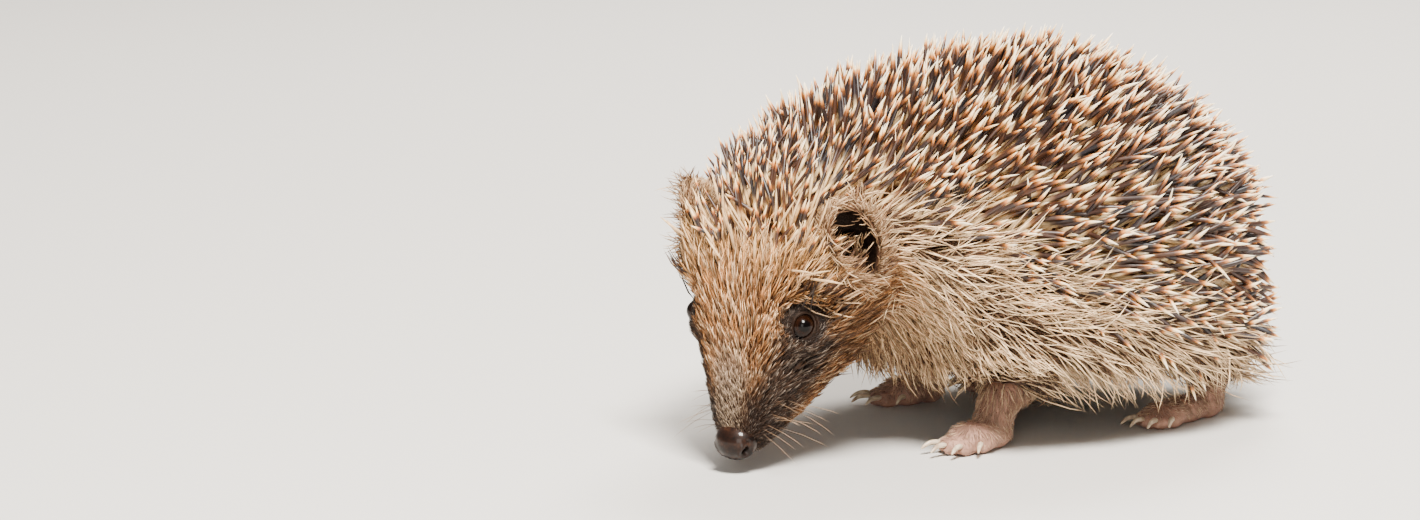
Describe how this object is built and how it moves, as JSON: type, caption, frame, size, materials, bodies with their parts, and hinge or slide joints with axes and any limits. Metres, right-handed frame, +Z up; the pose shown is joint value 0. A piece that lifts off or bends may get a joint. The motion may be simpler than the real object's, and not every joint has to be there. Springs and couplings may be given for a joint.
{
  "type": "hedgehog",
  "caption": "Young European hedgehog, life size, standing on all four feet with its head lowered and turned left, domed back of banded quills, furry face and long-haired flanks.",
  "frame": {"origin": "on the floor, under the middle of the animal's bounding box", "axes": "+Z up; the animal faces -Y; its left side is +X"},
  "size_m": [0.104, 0.1622, 0.092],
  "materials": {
    "quills": "coat of cream quills with a dark brown band below each pale tip",
    "fur": "coarse tan and greyish brown hair",
    "skin": "thinly haired dark grey-brown skin",
    "nose": "moist, finely pebbled, dark brown-black",
    "eye": "wet, very dark brown",
    "claw": "horn, greyish cream"
  },
  "bodies": {
    "root": {"claw_forefoot_left_1": "claw", "claw_forefoot_left_2": "claw", "claw_forefoot_left_3": "claw", "claw_forefoot_left_4": "claw", "claw_forefoot_left_5": "claw", "claw_forefoot_right_1": "claw", "claw_forefoot_right_2": "claw", "claw_forefoot_right_3": "claw", "claw_forefoot_right_4": "claw", "claw_forefoot_right_5": "claw", "claw_hindfoot_left_1": "claw", "claw_hindfoot_left_2": "claw", "claw_hindfoot_left_3": "claw", "claw_hindfoot_left_4": "claw", "claw_hindfoot_left_5": "claw", "claw_hindfoot_right_1": "claw", "claw_hindfoot_right_2": "claw", "claw_hindfoot_right_3": "claw", "claw_hindfoot_right_4": "claw", "claw_hindfoot_right_5": "claw", "ear_left": "skin", "ear_right": "skin", "eye_left": "eye", "eye_right": "eye", "forefoot_left": "skin", "forefoot_right": "skin", "foreleg_left": "fur", "foreleg_right": "fur", "head": "fur", "hindfoot_left": "skin", "hindfoot_right": "skin", "hindleg_left": "fur", "hindleg_right": "fur", "neck": "quills", "nose": "nose", "tail": "skin", "trunk": "quills"}
  },
  "joints": []
}
